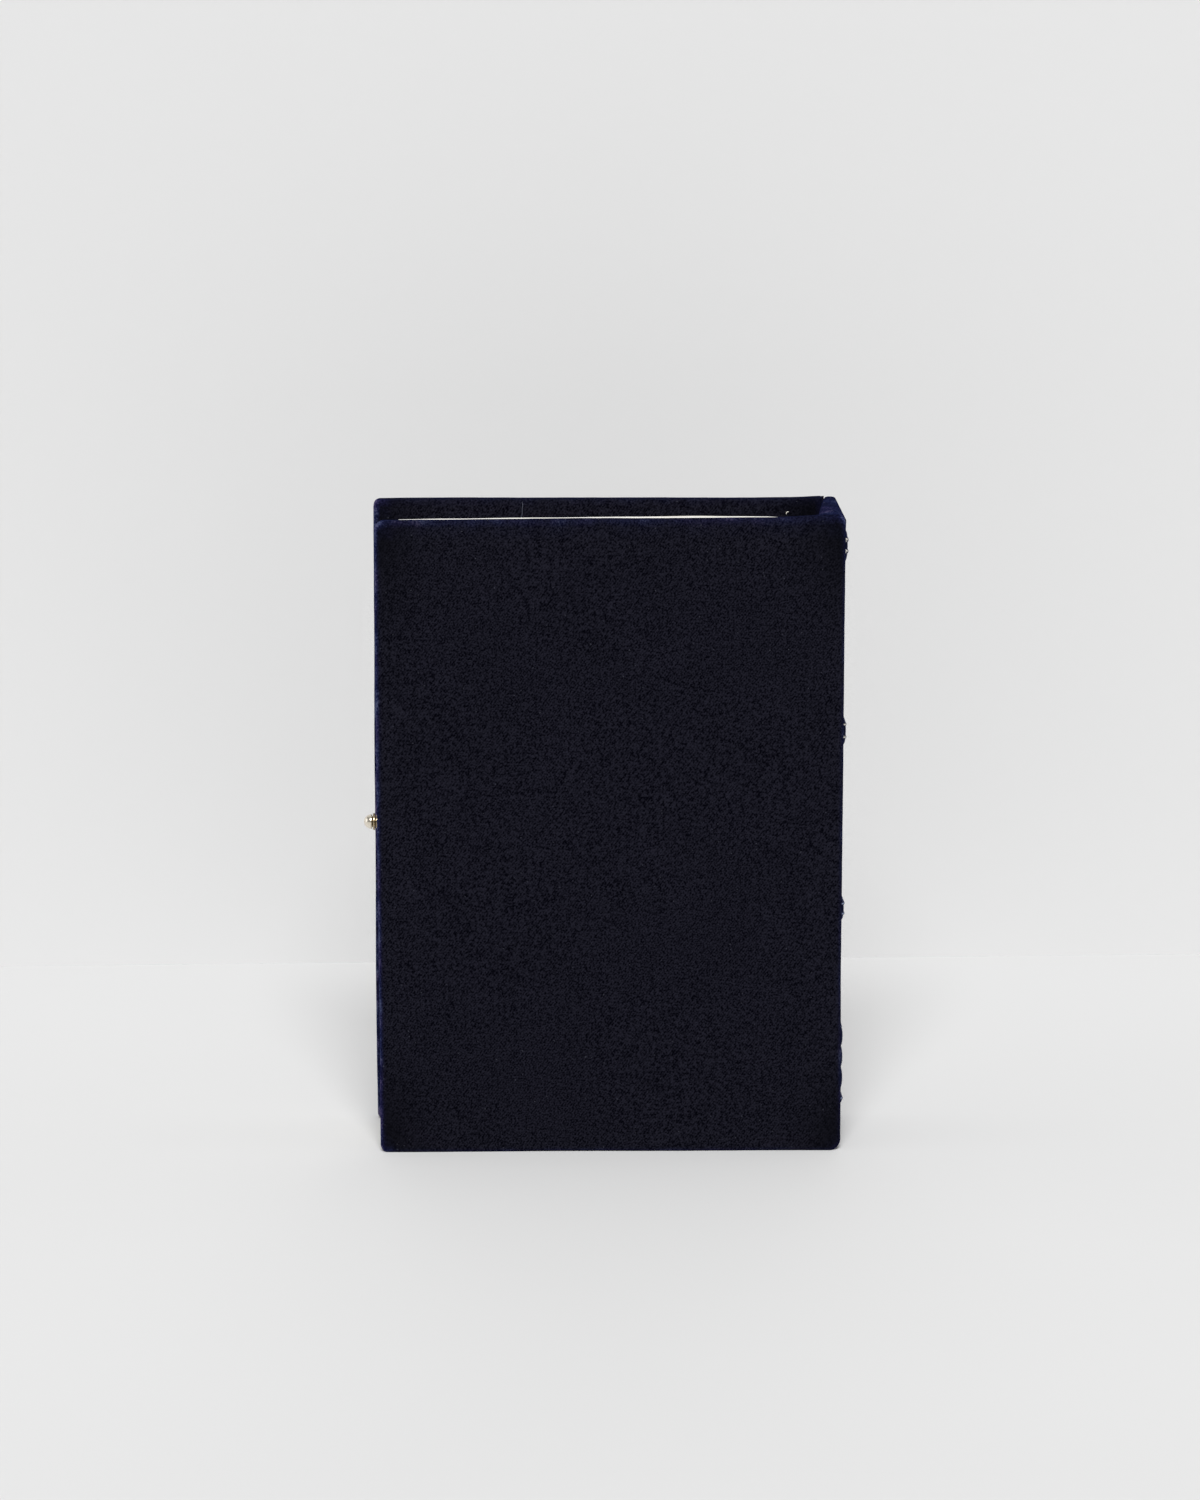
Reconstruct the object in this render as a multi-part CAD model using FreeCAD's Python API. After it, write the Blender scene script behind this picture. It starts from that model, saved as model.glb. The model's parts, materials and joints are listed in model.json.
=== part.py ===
import FreeCAD
import Part
import os
from FreeCAD import Vector

# A book-shaped box, standing on its tail edge. Millimetres, +Z up.
# The back cover is at -Y, the front cover at +Y, the spine at +X and the clasp at -X.
# The origin is the middle of the footprint, ball and spine bands included, on the standing surface.
# Depths are counted from the closing plane, y = 0, where the two trays meet.

# The case, closed
case_height = 205.0
case_width = 147.0  # fore edge of the back cover to the outside of the spine
case_thick = 40.0  # outside of one cover to the outside of the other
cover_shift = 1.3  # front cover further to the fore edge than the back cover, so the spine leans

# Covers: greyboard wrapped in velvet, which is turned in under the trays
greyboard_thick = 2.5
greyboard_corner_radius = 1.4
greyboard_edge_radius = 0.7
velvet_thick = 0.75

# Spine: card and wadding in velvet, thick at the back cover and thin at the joint
spine_card_thick = 1.2
spine_padding_back_thick = 5.1
spine_padding_joint_thick = 0.9
spine_round_radius = 1.4

# Joint: velvet folded into a roll between the spine and the front cover
joint_gap = 0.8
joint_roll_radius = 0.4

# Embroidered bands across the spine, each from one share of the height to another
band_rise = 1.1
band_edge_radius = 0.7
band_end_margin = 2.0
band_height_shares = ((0.068, 0.083), (0.093, 0.194), (0.365, 0.400), (0.644, 0.686), (0.932, 0.980))

# Trays: how far the page block stands in from the case, and what its walls are made of
head_square = 5.3
fore_edge_square = 6.0
spine_setback = 16.5
wall_thick = 2.0
page_cloth_thick = 0.6
page_corner_radius = 1.2
lining_thick = 0.5

# Padded card on each tray floor
floor_pad_thick = 2.4
floor_pad_clearance = 0.3
floor_pad_edge_radius = 0.9

# Brass rims, of angle section, on the edges of the tray walls
closing_gap = 0.4
rim_face_thick = 1.0
rim_flange_thick = 0.8
rim_flange_depth = 4.0

# Plates of the clasp and the keeper, on the fore edge walls
clasp_height = 104.0  # tail of the case to the middle of the clasp
plate_thick = 0.8
plate_margin = 1.0  # round the rivet heads
plate_rim_clearance = 0.2
plate_corner_radius = 0.8

# Rivets through the plates and the fore edge walls
rivet_lug_clearance = 0.8
rivet_flange_clearance = 0.5
rivet_shank_radius = 0.6
rivet_head_radius = 1.1
rivet_head_rise = 0.5
rivet_head_edge_radius = 0.3
rivet_clinch_rise = 0.35
rivet_clearance = 0.05

# Keeper ridge
ridge_radius = 0.55
ridge_length = 6.0
ridge_setback = 1.1  # edge of the plate to the middle of the ridge

# Clasp lever on its pin
lever_lift = 1.0  # under side of the lever above the plate
lever_wall = 0.21  # metal left on each side of the pin hole
lever_width = 4.0
lever_tail = 3.0  # pin to the end of the tail
lever_corner_radius = 0.5
pivot_depth = 5.0  # pin to the closing plane
pin_radius = 0.5
pin_running_clearance = 0.04
pin_end_length = 0.3
lug_thick = 0.8
lug_wall = 0.8  # metal round the pin
lug_clearance = 0.2

# Hooked nose of the lever
nose_length = 1.2
nose_plate_clearance = 0.15
nose_ridge_clearance = 0.35
nose_tip_radius = 0.3

# Turned stem, with a foot on the lever and a collar and neck under the ball
stem_radius = 0.9
stem_length = 5.05  # lever to the middle of the ball
stem_in_ball = 1.2
foot_radius = 1.5
foot_height = 0.6
collar_radius = 2.4
collar_height = 1.7
collar_edge_radius = 0.3
neck_radius = 1.7
neck_height = 0.3

# Ball, flat where it sits on the neck
ball_radius = 2.3
ball_skirt = 0.3  # middle of the ball to its flat

# Leaf spring between the clasp plate and the tail of the lever
leaf_thick = 0.25
leaf_width = 2.4
leaf_foot_length = 1.6
leaf_foot_setback = 0.6  # edge of the plate to the foot
leaf_end_margin = 0.4  # end of the tail to the end of the leaf
leaf_clearance = 0.05

# How far a cutting tool runs past what it cuts, the largest share of its room that a rounding
# takes, and how near two points are when they count as one
overrun = 1.0
rounding_share = 0.45
same_place = 1e-6


def inset(outline, amount):
    left, right, bottom, top = outline
    return (left + amount, right - amount, bottom + amount, top - amount)


def rounding(radius, room):
    return min(radius, room * rounding_share)


# Worked out from the above, across the thickness
cover_thick = greyboard_thick + 2 * velvet_thick
cover_outer = case_thick / 2
cover_inner = cover_outer - cover_thick
greyboard_outer = cover_outer - velvet_thick
greyboard_inner = cover_inner + velvet_thick
rim_top = closing_gap / 2
rim_under = rim_top + rim_face_thick
flange_end = rim_under + rim_flange_depth
plate_start = rim_under + plate_rim_clearance
rivet_depth = flange_end + rivet_flange_clearance + rivet_head_radius
plate_end = rivet_depth + rivet_head_radius + plate_margin

# Up and down from the middle of the clasp
lug_inner = lever_width / 2 + lug_clearance
lug_outer = lug_inner + lug_thick
rivet_rise = lug_outer + rivet_lug_clearance + rivet_head_radius
plate_half_height = rivet_rise + rivet_head_radius + plate_margin

# Outward from the page cloth on the fore edge, and inward through the wall
wall_stack = page_cloth_thick + wall_thick + lining_thick
lever_thick = 2 * (pin_radius + pin_running_clearance + lever_wall)
lug_radius = pin_radius + lug_wall
lever_under = plate_thick + lever_lift
lever_top = lever_under + lever_thick
pivot_out = lever_under + lever_thick / 2
ball_out = lever_top + stem_length
ball_flat_out = ball_out - ball_skirt
ball_tip_out = ball_out + ball_radius
collar_out = ball_flat_out - neck_height

# Along the width
spine_back_thick = spine_card_thick + spine_padding_back_thick + 2 * velvet_thick
spine_joint_thick = spine_card_thick + spine_padding_joint_thick + 2 * velvet_thick
spine_velvet_radius = rounding(spine_round_radius, spine_joint_thick)
band_radius = rounding(band_edge_radius, 2 * band_rise)
spine_lean = cover_shift / (cover_inner + cover_outer)
ball_reach = ball_tip_out - fore_edge_square
band_reach = band_rise - spine_lean * (band_end_margin + band_radius)
case_left = (ball_reach - case_width - band_reach) / 2
case_right = case_left + case_width
page_left = case_left + fore_edge_square
page_right = case_right - spine_setback
front_cover_right = case_right - cover_shift - spine_joint_thick - joint_gap
joint_x = front_cover_right + joint_gap / 2
joint_y = cover_outer - joint_roll_radius

# Outlines seen from the front, as left, right, bottom and top
page_outline = (page_left, page_right, head_square, case_height - head_square)
wall_outline = inset(page_outline, page_cloth_thick)
lining_outline = inset(wall_outline, wall_thick)
inside_outline = inset(lining_outline, lining_thick)
rim_opening = inset(inside_outline, rim_flange_thick)


def block(x_span, y_span, z_span):
    x0, x1 = sorted(x_span)
    y0, y1 = sorted(y_span)
    z0, z1 = sorted(z_span)
    return Part.makeBox(x1 - x0, y1 - y0, z1 - z0, Vector(x0, y0, z0))


def slab(outline, side, depths):
    # side is -1 for the back half and 1 for the front half
    left, right, bottom, top = outline
    return block((left, right), (side * depths[0], side * depths[1]), (bottom, top))


def edges_along(shape, axis):
    # straight edges that run along one axis
    found = []
    for edge in shape.Edges:
        ends = [vertex.Point for vertex in edge.Vertexes]
        if len(ends) == 2 and (ends[1] - ends[0]).cross(axis).Length < same_place:
            found.append(edge)
    return found


def edges_at_depth(shape, y):
    # edges that lie in one plane of depth
    def is_there(box):
        return abs(box.YMin - y) < same_place and abs(box.YMax - y) < same_place

    return [edge for edge in shape.Edges if is_there(edge.BoundBox)]


def edges_beyond(shape, distance):
    # edges wholly further out from the fore edge than a distance
    return [edge for edge in shape.Edges if edge.BoundBox.XMax < outward(distance) - same_place]


def rounded_slab(outline, side, depths, corner_radius, edge_radius):
    body = slab(outline, side, depths)
    body = body.makeFillet(corner_radius, edges_along(body, Vector(0, 1, 0)))
    rims = edges_at_depth(body, side * depths[0]) + edges_at_depth(body, side * depths[1])
    return body.makeFillet(edge_radius, rims)


def frame(outer, inner, side, depths):
    cutter = slab(inner, side, (depths[0] - overrun, depths[1] + overrun))
    return slab(outer, side, depths).cut(cutter)


def frame_with_round_corners(outer, inner, side, depths, corner_radius):
    body = slab(outer, side, depths)
    body = body.makeFillet(corner_radius, edges_along(body, Vector(0, 1, 0)))
    return body.cut(slab(inner, side, (depths[0] - overrun, depths[1] + overrun)))


def plan_prism(points, bottom, top):
    # a prism on an outline drawn in plan
    corners = [Vector(x, y, bottom) for x, y in points]
    face = Part.Face(Part.makePolygon(corners + corners[:1]))
    return face.extrude(Vector(0, 0, top - bottom))


def outward(distance):
    # x of a point that far out from the page cloth on the fore edge
    return page_left - distance


def upright(radius, x, y, bottom, top):
    return Part.makeCylinder(radius, top - bottom, Vector(x, y, bottom), Vector(0, 0, 1))


def crosswise(radius, start, end, y, z):
    # a cylinder square to the fore edge, between two distances outward
    return Part.makeCylinder(radius, end - start, Vector(outward(start), y, z), Vector(-1, 0, 0))


# Covers


def cover_pieces(side, left, right):
    outline = (left, right, 0, case_height)
    outer = rounded_slab(
        outline,
        side,
        (cover_inner, cover_outer),
        greyboard_corner_radius + velvet_thick,
        greyboard_edge_radius + velvet_thick,
    )
    core = rounded_slab(
        inset(outline, velvet_thick),
        side,
        (greyboard_inner, greyboard_outer),
        greyboard_corner_radius,
        greyboard_edge_radius,
    )
    window = slab(inside_outline, side, (cover_inner - overrun, greyboard_inner + greyboard_thick / 2))
    return core, outer.cut(core).cut(window)


# Trays


def tray_walls(side):
    left, right, bottom, top = wall_outline
    depths = (rim_under, cover_inner)
    inner_bottom = bottom + wall_thick
    inner_top = top - wall_thick
    return {
        "head_wall": slab((left, right, inner_top, top), side, depths),
        "tail_wall": slab((left, right, bottom, inner_bottom), side, depths),
        "fore_edge_wall": slab((left, left + wall_thick, inner_bottom, inner_top), side, depths),
        "spine_wall": slab((right - wall_thick, right, inner_bottom, inner_top), side, depths),
    }


def page_cloth(side):
    depths = (rim_under, cover_inner)
    return frame_with_round_corners(page_outline, wall_outline, side, depths, page_corner_radius)


def wall_lining(side):
    return frame(lining_outline, inside_outline, side, (rim_under, cover_inner))


def floor_pad(side):
    outline = inset(inside_outline, floor_pad_clearance)
    top = greyboard_inner - floor_pad_thick
    pad = slab(outline, side, (top, greyboard_inner))
    radius = rounding(floor_pad_edge_radius, 2 * floor_pad_thick)
    return pad.makeFillet(radius, edges_at_depth(pad, side * top))


def rim(side):
    depths = (rim_top, rim_under)
    face = frame_with_round_corners(page_outline, rim_opening, side, depths, page_corner_radius)
    flange = frame(inside_outline, rim_opening, side, (rim_under, flange_end))
    return face.fuse(flange).removeSplitter()


# Spine and joint


def spine_outside(y):
    # x of the outside of the leaning spine
    return case_right - spine_lean * (y + cover_inner)


def spine_layer_plan(start, back_thick, joint_thick, end_margin):
    # outline in plan of a layer that starts that far in from the outside of the spine
    ends = (-cover_inner, cover_outer - end_margin)
    outer = [(spine_outside(y) - start, y) for y in ends]
    inner = [(x - thick, y) for (x, y), thick in zip(outer, (back_thick, joint_thick))]
    return outer + inner[::-1]


def spine_velvet_outside():
    # rounded everywhere but where it meets the back cover
    plan = spine_layer_plan(0, spine_back_thick, spine_joint_thick, 0)
    body = plan_prism(plan, 0, case_height)
    free = [edge for edge in body.Edges if edge.BoundBox.YMax > same_place - cover_inner]
    return body.makeFillet(spine_velvet_radius, free)


def spine_pieces():
    def layer(back_thick, joint_thick):
        plan = spine_layer_plan(velvet_thick, back_thick, joint_thick, velvet_thick)
        return plan_prism(plan, velvet_thick, case_height - velvet_thick)

    card = layer(spine_card_thick, spine_card_thick)
    filling = layer(spine_back_thick - 2 * velvet_thick, spine_joint_thick - 2 * velvet_thick)
    outside = spine_velvet_outside()
    return {
        "spine_card": card,
        "spine_padding": filling.cut(card),
        "spine_velvet": outside.cut(filling),
    }


def spine_band(low_share, high_share):
    ends = (-cover_inner + band_end_margin, cover_outer - spine_velvet_radius - band_end_margin)
    under = [(spine_outside(y), y) for y in ends]
    over = [(x + band_rise, y) for x, y in under]
    body = plan_prism(under + over[::-1], case_height * low_share, case_height * high_share)

    def is_outer(point):
        return point.x > spine_outside(point.y) + band_rise / 2

    outer = [edge for edge in body.Edges if all(is_outer(vertex.Point) for vertex in edge.Vertexes)]
    return body.makeFillet(band_radius, outer)


def joint_velvet():
    # a roll on the axis of the joint, with a web that meets the spine
    bottom = spine_velvet_radius
    top = case_height - spine_velvet_radius
    roll = upright(joint_roll_radius, joint_x, joint_y, bottom, top)
    web_y = (joint_y - joint_roll_radius / 2, joint_y + joint_roll_radius / 2)
    web = block((joint_x, joint_x + spine_joint_thick / 2), web_y, (bottom, top))
    return roll.fuse(web).cut(spine_velvet_outside()).removeSplitter()


# Clasp and keeper


def rivet_heights():
    return (clasp_height - rivet_rise, clasp_height + rivet_rise)


def rivet_holes(side):
    # clear holes through the plate, page cloth, wall and lining
    radius = rivet_shank_radius + rivet_clearance
    start = -wall_stack - overrun
    end = plate_thick + overrun
    return Part.Compound([crosswise(radius, start, end, side * rivet_depth, z) for z in rivet_heights()])


def rivet(side, z):
    y = side * rivet_depth
    head = crosswise(rivet_head_radius, plate_thick, plate_thick + rivet_head_rise, y, z)
    head = head.makeFillet(rivet_head_edge_radius, edges_beyond(head, plate_thick))
    shank = crosswise(rivet_shank_radius, -wall_stack, plate_thick, y, z)
    clinch = crosswise(rivet_head_radius, -wall_stack - rivet_clinch_rise, -wall_stack, y, z)
    return head.fuse([shank, clinch]).removeSplitter()


def rivets(side):
    return Part.Compound([rivet(side, z) for z in rivet_heights()])


def plate(side):
    z_span = (clasp_height - plate_half_height, clasp_height + plate_half_height)
    body = block((outward(0), outward(plate_thick)), (side * plate_start, side * plate_end), z_span)
    return body.makeFillet(plate_corner_radius, edges_along(body, Vector(1, 0, 0)))


def keeper():
    y = -(plate_start + ridge_setback)
    bottom = clasp_height - ridge_length / 2
    ridge = upright(ridge_radius, outward(plate_thick), y, bottom, bottom + ridge_length)
    inside_plate = block(
        (outward(0), outward(-overrun - ridge_radius)),
        (y - ridge_radius - overrun, y + ridge_radius + overrun),
        (bottom - overrun, bottom + ridge_length + overrun),
    )
    return plate(-1).fuse(ridge.cut(inside_plate)).removeSplitter().cut(rivet_holes(-1))


def lug(z0, z1):
    foot = block(
        (outward(plate_thick / 2), outward(pivot_out)),
        (pivot_depth - lug_radius, pivot_depth + lug_radius),
        (z0, z1),
    )
    return foot.fuse(upright(lug_radius, outward(pivot_out), pivot_depth, z0, z1))


def clasp_plate():
    lower = lug(clasp_height - lug_outer, clasp_height - lug_inner)
    upper = lug(clasp_height + lug_inner, clasp_height + lug_outer)
    body = plate(1).fuse([lower, upper]).removeSplitter()
    return body.cut(rivet_holes(1)).cut(clasp_pin())


def clasp_pin():
    half = lug_outer + pin_end_length
    return upright(pin_radius, outward(pivot_out), pivot_depth, clasp_height - half, clasp_height + half)


def nose_back():
    # the side of the nose that faces the keeper ridge
    return -(plate_start + ridge_setback + ridge_radius + nose_ridge_clearance)


def clasp_lever():
    tail_y = pivot_depth + lever_tail
    front_y = nose_back() - nose_length
    tip = plate_thick + nose_plate_clearance
    points = (
        (outward(lever_under), tail_y),
        (outward(lever_under), nose_back()),
        (outward(tip), nose_back()),
        (outward(tip), front_y),
        (outward(lever_top), front_y),
        (outward(lever_top), tail_y),
    )
    bottom = clasp_height - lever_width / 2
    top = clasp_height + lever_width / 2
    body = plan_prism(points, bottom, top)
    body = body.makeFillet(lever_corner_radius, upright_edges_between(body, pivot_out, lever_top))
    body = body.makeFillet(nose_tip_radius, upright_edges_between(body, tip, tip))
    hole_radius = pin_radius + pin_running_clearance
    hole = upright(hole_radius, outward(pivot_out), pivot_depth, bottom - overrun, top + overrun)
    return body.cut(hole)


def upright_edges_between(body, start, end):
    # upright edges between two distances out from the fore edge
    def is_there(x):
        return outward(end) - same_place < x < outward(start) + same_place

    return [edge for edge in edges_along(body, Vector(0, 0, 1)) if is_there(edge.BoundBox.XMax)]


def turned(radius, start, end):
    # a length of the stem, between two distances outward
    return crosswise(radius, start, end, 0, clasp_height)


def clasp_stem():
    collar = turned(collar_radius, collar_out - collar_height, collar_out)
    rims = [edge for edge in collar.Edges if edge.BoundBox.XLength < same_place]
    collar = collar.makeFillet(rounding(collar_edge_radius, collar_height), rims)
    foot = turned(foot_radius, lever_top, lever_top + foot_height)
    neck = turned(neck_radius, collar_out, ball_flat_out)
    shank = turned(stem_radius, lever_top, ball_flat_out + stem_in_ball)
    return shank.fuse([foot, collar, neck]).removeSplitter()


def clasp_ball():
    ball = Part.makeSphere(ball_radius, Vector(outward(ball_out), 0, clasp_height))
    below_flat = turned(ball_radius + overrun, ball_out - ball_radius - overrun, ball_flat_out)
    return ball.cut(below_flat).cut(clasp_stem())


def clasp_spring():
    # a foot on the plate and a leaf that rises to the tail of the lever
    foot_start = plate_start + leaf_foot_setback
    foot_end = foot_start + leaf_foot_length
    leaf_end = pivot_depth + lever_tail - leaf_end_margin
    low = plate_thick
    high = lever_under - leaf_clearance
    points = (
        (outward(low), foot_start),
        (outward(low), foot_end),
        (outward(high - leaf_thick), leaf_end),
        (outward(high), leaf_end),
        (outward(low + leaf_thick), foot_end),
        (outward(low + leaf_thick), foot_start),
    )
    return plan_prism(points, clasp_height - leaf_width / 2, clasp_height + leaf_width / 2)


# Assembly


def half_pieces(name, side, left, right):
    core, velvet = cover_pieces(side, left, right)
    holes = rivet_holes(side)
    walls = tray_walls(side)
    walls["fore_edge_wall"] = walls["fore_edge_wall"].cut(holes)
    pieces = {
        "greyboard": core,
        "cover_velvet": velvet,
        "page_cloth": page_cloth(side).cut(holes),
        "wall_lining": wall_lining(side).cut(holes),
        "floor_pad": floor_pad(side),
        "rim": rim(side),
    }
    pieces.update(walls)
    return {name + "_" + key: shape for key, shape in pieces.items()}


def all_pieces():
    pieces = half_pieces("back", -1, case_left, case_right)
    pieces.update(half_pieces("front", 1, case_left - cover_shift, front_cover_right))
    pieces.update(spine_pieces())
    for number, (low_share, high_share) in enumerate(band_height_shares, start=1):
        pieces["spine_band_" + str(number)] = spine_band(low_share, high_share)
    pieces["joint_velvet"] = joint_velvet()
    pieces["keeper"] = keeper()
    pieces["keeper_rivets"] = rivets(-1)
    pieces["clasp_plate"] = clasp_plate()
    pieces["clasp_rivets"] = rivets(1)
    pieces["clasp_pin"] = clasp_pin()
    pieces["clasp_spring"] = clasp_spring()
    pieces["clasp_lever"] = clasp_lever()
    pieces["clasp_stem"] = clasp_stem()
    pieces["clasp_ball"] = clasp_ball()
    return pieces


os.makedirs("parts", exist_ok=True)
for node, shape in all_pieces().items():
    shape.exportStep("parts/" + node + ".step")
    print(node, "solids:", len(shape.Solids), "valid:", shape.isValid(), "mm3:", round(shape.Volume, 1))
print("joint axis at", joint_x, joint_y, "and clasp pin at", outward(pivot_out), pivot_depth)
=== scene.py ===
import json
import math
import random

import bmesh
import bpy
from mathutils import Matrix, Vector, noise


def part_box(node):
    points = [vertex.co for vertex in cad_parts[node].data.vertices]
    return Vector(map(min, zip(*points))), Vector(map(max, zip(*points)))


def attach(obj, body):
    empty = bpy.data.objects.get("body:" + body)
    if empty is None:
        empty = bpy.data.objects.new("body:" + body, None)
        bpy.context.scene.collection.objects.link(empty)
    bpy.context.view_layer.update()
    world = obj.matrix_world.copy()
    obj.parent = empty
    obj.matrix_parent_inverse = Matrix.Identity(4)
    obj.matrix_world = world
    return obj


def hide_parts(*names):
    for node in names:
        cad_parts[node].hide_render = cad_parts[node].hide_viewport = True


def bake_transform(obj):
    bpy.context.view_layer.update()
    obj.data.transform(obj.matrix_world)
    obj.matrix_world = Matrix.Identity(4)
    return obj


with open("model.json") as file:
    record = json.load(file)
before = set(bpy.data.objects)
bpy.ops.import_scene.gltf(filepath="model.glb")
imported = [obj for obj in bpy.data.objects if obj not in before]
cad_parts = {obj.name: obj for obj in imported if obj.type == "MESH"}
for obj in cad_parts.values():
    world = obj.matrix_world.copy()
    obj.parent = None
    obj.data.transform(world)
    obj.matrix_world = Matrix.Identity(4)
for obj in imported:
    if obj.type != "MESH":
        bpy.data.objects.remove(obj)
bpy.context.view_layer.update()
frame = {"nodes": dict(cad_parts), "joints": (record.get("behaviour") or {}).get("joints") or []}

# Book box in navy velvet, dressed round the CAD frame. Metres, +Z up, back cover at -Y.
mm = 0.001
scene = bpy.context.scene
cadNodes = frame["nodes"]
xAxis, yAxis, zAxis = 0, 1, 2
samePlace = 0.01 * mm
mergeReach = 0.001 * mm
cutReach = 0.0001 * mm
parallel = 0.999  # share of an edge's direction along an axis
facing = 0.9  # share of a face's normal along an axis
print("frame:", len(cadNodes), "nodes loaded")


# Shape helpers
def shapeFromBox(low, high):
    bm = bmesh.new()
    bmesh.ops.create_cube(bm, size=1)
    bmesh.ops.scale(bm, vec=high - low, verts=bm.verts)
    bmesh.ops.translate(bm, vec=(low + high) / 2, verts=bm.verts)
    return bm


def edgesAlong(bm, axis):
    return [e for e in bm.edges if abs((e.verts[1].co - e.verts[0].co).normalized()[axis]) > parallel]


def edgesOnPlane(bm, axis, place):
    return [e for e in bm.edges if all(abs(v.co[axis] - place) < samePlace for v in e.verts)]


def roundEdges(bm, edges, radius, steps):
    bmesh.ops.bevel(bm, geom=edges, offset=radius, offset_type="OFFSET", affect="EDGES",
                    segments=steps, profile=0.5, material=-1, clamp_overlap=True)


def sliceAcross(bm, axis, places):
    normal = Vector((0, 0, 0))
    normal[axis] = 1
    for place in places:
        everything = bm.verts[:] + bm.edges[:] + bm.faces[:]
        bmesh.ops.bisect_plane(bm, geom=everything, plane_co=normal * place, plane_no=normal, dist=cutReach)


def evenPlaces(start, end, step):
    count = max(1, round((end - start) / step))
    return [start + (end - start) * i / count for i in range(count + 1)]


def ease(share):
    # smooth step from 0 to 1
    share = min(1.0, max(0.0, share))
    return share * share * (3 - 2 * share)


def along(stops, share):
    # smooth line through (share of the length, value)
    for (start, low), (end, high) in zip(stops, stops[1:]):
        if share <= end:
            return low + (high - low) * ease((share - start) / (end - start))
    return stops[-1][1]


def prismFromPlan(plan, bottom, top):
    # upright solid on a plan of (x, y)
    bm = bmesh.new()
    foot = bm.faces.new([bm.verts.new((x, y, bottom)) for x, y in plan])
    grown = bmesh.ops.extrude_face_region(bm, geom=[foot], use_keep_orig=True)["geom"]
    risen = [g for g in grown if isinstance(g, bmesh.types.BMVert)]
    bmesh.ops.translate(bm, vec=Vector((0, 0, top - bottom)), verts=risen)
    bmesh.ops.recalc_face_normals(bm, faces=bm.faces)
    return bm


def spunShape(points, centre, axis, steps):
    # solid turned from a line of points
    bm = bmesh.new()
    line = [bm.verts.new(p) for p in points]
    for near, far in zip(line, line[1:]):
        bm.edges.new((near, far))
    bmesh.ops.spin(bm, geom=bm.verts[:] + bm.edges[:], cent=centre, axis=axis, angle=2 * math.pi,
                   steps=steps, use_merge=True)
    bmesh.ops.remove_doubles(bm, verts=bm.verts, dist=mergeReach)
    bmesh.ops.holes_fill(bm, edges=[e for e in bm.edges if e.is_boundary])
    bmesh.ops.recalc_face_normals(bm, faces=bm.faces)
    return bm


def openEnds(bm):
    # leaves a ring: the faces at both ends of its thickness come off
    ends = [f for f in bm.faces if abs(f.normal.y) > facing]
    bmesh.ops.delete(bm, geom=ends, context="FACES_ONLY")


def waver(bm, amount, size, seed):
    # uneven surface of wrapped cloth
    bm.normal_update()
    for v in bm.verts:
        v.co += v.normal * amount * noise.noise(v.co / size + Vector((seed, 0.3 * seed, 0)))


def makePiece(name, bm, materials, body):
    mesh = bpy.data.meshes.new(name)
    bm.to_mesh(mesh)
    bm.free()
    for polygon in mesh.polygons:
        polygon.use_smooth = True
    piece = bpy.data.objects.new(name, mesh)
    scene.collection.objects.link(piece)
    for material in materials:
        mesh.materials.append(material)
    if body:
        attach(piece, body)
    return piece


def giveThickness(piece, thick):
    wall = piece.modifiers.new("wall", "SOLIDIFY")
    wall.thickness = thick
    wall.offset = -1
    wall.use_even_offset = True


def tubesAlong(paths, radius, roundness):
    # one tube along each list of points, as a mesh
    curve = bpy.data.curves.new("tubes", "CURVE")
    curve.dimensions = "3D"
    curve.bevel_depth = radius
    curve.bevel_resolution = roundness
    curve.use_fill_caps = True
    for path in paths:
        spline = curve.splines.new("POLY")
        spline.points.add(len(path) - 1)
        for point, place in zip(spline.points, path):
            point.co = (*place, 1)
    holder = bpy.data.objects.new("tubes", curve)
    mesh = bpy.data.meshes.new_from_object(holder)
    bpy.data.objects.remove(holder)
    bpy.data.curves.remove(curve)
    return mesh


def addMesh(bm, mesh, materialIndex):
    # joins a mesh to a shape, with a material of its own
    count = len(bm.faces)
    bm.from_mesh(mesh)
    bpy.data.meshes.remove(mesh)
    bm.faces.ensure_lookup_table()
    for face in bm.faces[count:]:
        face.material_index = materialIndex


# Material helpers
def newMaterial(name):
    material = bpy.data.materials.new(name)
    material.use_nodes = True
    tree = material.node_tree
    return material, tree, tree.nodes["Principled BSDF"]


def addNode(tree, kind, **values):
    node = tree.nodes.new(kind)
    for key, value in values.items():
        if key in node.inputs:
            node.inputs[key].default_value = value
        else:
            setattr(node, key, value)
    return node


def objectPlace(tree, stretch=(1, 1, 1)):
    place = addNode(tree, "ShaderNodeTexCoord")
    mapping = addNode(tree, "ShaderNodeMapping", Scale=stretch)
    tree.links.new(place.outputs["Object"], mapping.inputs["Vector"])
    return mapping.outputs["Vector"]


def grain(tree, size, detail=2.0, fineShare=0.5, stretch=(1, 1, 1)):
    # noise with features of about that size
    texture = addNode(tree, "ShaderNodeTexNoise", Scale=1 / size, Detail=detail, Roughness=fineShare)
    tree.links.new(objectPlace(tree, stretch), texture.inputs["Vector"])
    return texture.outputs["Fac"]


def ramp(tree, factor, colours, places=(0.3, 0.7)):
    node = addNode(tree, "ShaderNodeValToRGB")
    while len(node.color_ramp.elements) < len(colours):
        node.color_ramp.elements.new(0.5)
    for element, place, colour in zip(node.color_ramp.elements, places, colours):
        element.position = place
        element.color = colour
    tree.links.new(factor, node.inputs["Fac"])
    return node.outputs["Color"]


def feed(tree, values, sockets):
    # each socket takes a link or a plain value
    for value, socket in zip(values, sockets):
        if isinstance(value, bpy.types.NodeSocket):
            tree.links.new(value, socket)
        else:
            socket.default_value = value


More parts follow.
